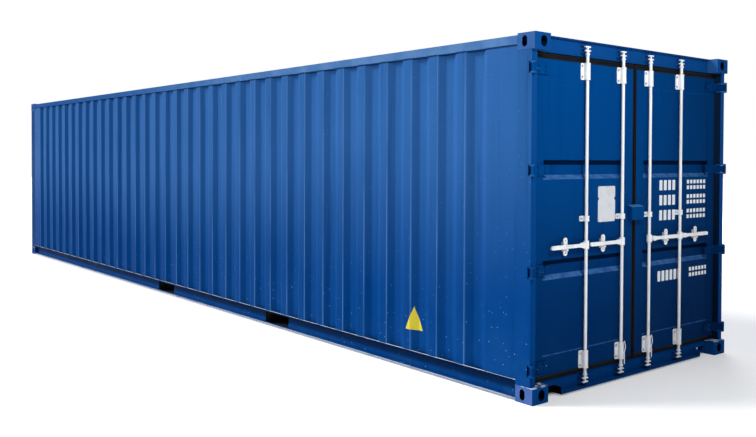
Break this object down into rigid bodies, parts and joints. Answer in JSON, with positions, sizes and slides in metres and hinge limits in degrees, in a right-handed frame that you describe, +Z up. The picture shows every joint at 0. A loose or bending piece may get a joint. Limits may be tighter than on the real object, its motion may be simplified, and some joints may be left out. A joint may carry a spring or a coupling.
{
  "type": "shipping container",
  "caption": "Forty foot steel freight container with pressed walls, two swinging doors, turning locking bars and cast corner fittings.",
  "frame": {"origin": "on the ground plane, under the middle of the container", "axes": "+X towards the door end, +Y towards the right-hand side seen facing the doors, +Z up"},
  "size_m": [12.192, 2.438, 2.591],
  "materials": {
    "blue_paint": "semi-gloss deep blue paint with road dust",
    "white_paint": "white paint, slightly worn",
    "door_rubber": "black door seal",
    "floor_wood": "oiled plywood",
    "underframe_paint": "black underseal"
  },
  "bodies": {
    "container": {"corner_fittings_top": "blue_paint", "corner_fittings_bottom": "blue_paint", "rear_corner_post_left": "blue_paint", "rear_corner_post_right": "blue_paint", "front_corner_post_left": "blue_paint", "front_corner_post_right": "blue_paint", "hinge_lugs_left": "blue_paint", "hinge_lugs_right": "blue_paint", "door_header": "blue_paint", "door_sill": "blue_paint", "front_header": "blue_paint", "front_sill": "blue_paint", "top_side_rail_left": "blue_paint", "top_side_rail_right": "blue_paint", "bottom_side_rail_left": "blue_paint", "bottom_side_rail_right": "blue_paint", "side_wall_left": "blue_paint", "side_wall_right": "blue_paint", "front_end_wall": "blue_paint", "roof_panel": "blue_paint", "floor_boards": "floor_wood", "cross_members": "underframe_paint", "fork_pockets": "underframe_paint", "cam_keepers": "blue_paint"},
    "left_door": {"left_door_frame": "blue_paint", "left_door_panel": "blue_paint", "left_door_gasket": "door_rubber", "left_door_hinge_blades": "blue_paint", "left_door_bar_brackets": "white_paint", "left_door_handle_catches": "white_paint", "left_door_lock_box": "blue_paint"},
    "right_door": {"right_door_frame": "blue_paint", "right_door_panel": "blue_paint", "right_door_gasket": "door_rubber", "right_door_hinge_blades": "blue_paint", "right_door_bar_brackets": "white_paint", "right_door_handle_catches": "white_paint", "right_door_lock_box": "blue_paint"},
    "locking_bar_1": {"locking_bar_1": "white_paint"},
    "handle_1": {"handle_1": "white_paint"},
    "locking_bar_2": {"locking_bar_2": "white_paint"},
    "handle_2": {"handle_2": "white_paint"},
    "locking_bar_3": {"locking_bar_3": "white_paint"},
    "handle_3": {"handle_3": "white_paint"},
    "locking_bar_4": {"locking_bar_4": "white_paint"},
    "handle_4": {"handle_4": "white_paint"}
  },
  "joints": [
    {"name": "left_door_hinge", "type": "hinge", "parent": "container", "child": "left_door", "pos_m": [6.081, -1.204, 1.29], "axis": [0, 0, -1], "range_deg": [0, 270]},
    {"name": "right_door_hinge", "type": "hinge", "parent": "container", "child": "right_door", "pos_m": [6.081, 1.204, 1.29], "axis": [0, 0, 1], "range_deg": [0, 270]},
    {"name": "locking_bar_1_turn", "type": "hinge", "parent": "left_door", "child": "locking_bar_1", "pos_m": [6.036, -0.6, 1.29], "axis": [0, 0, -1], "range_deg": [-105, 0]},
    {"name": "locking_bar_2_turn", "type": "hinge", "parent": "left_door", "child": "locking_bar_2", "pos_m": [6.036, -0.175, 1.29], "axis": [0, 0, -1], "range_deg": [-105, 0]},
    {"name": "locking_bar_3_turn", "type": "hinge", "parent": "right_door", "child": "locking_bar_3", "pos_m": [6.036, 0.175, 1.29], "axis": [0, 0, 1], "range_deg": [-105, 0]},
    {"name": "locking_bar_4_turn", "type": "hinge", "parent": "right_door", "child": "locking_bar_4", "pos_m": [6.036, 0.6, 1.29], "axis": [0, 0, 1], "range_deg": [-105, 0]},
    {"name": "handle_1_lift", "type": "hinge", "parent": "locking_bar_1", "child": "handle_1", "pos_m": [6.046, -0.648, 1.075], "axis": [-1, 0, 0], "range_deg": [0, 12]},
    {"name": "handle_2_lift", "type": "hinge", "parent": "locking_bar_2", "child": "handle_2", "pos_m": [6.046, -0.223, 1.075], "axis": [-1, 0, 0], "range_deg": [0, 12]},
    {"name": "handle_3_lift", "type": "hinge", "parent": "locking_bar_3", "child": "handle_3", "pos_m": [6.046, 0.223, 1.075], "axis": [1, 0, 0], "range_deg": [0, 12]},
    {"name": "handle_4_lift", "type": "hinge", "parent": "locking_bar_4", "child": "handle_4", "pos_m": [6.046, 0.648, 1.075], "axis": [1, 0, 0], "range_deg": [0, 12]}
  ]
}
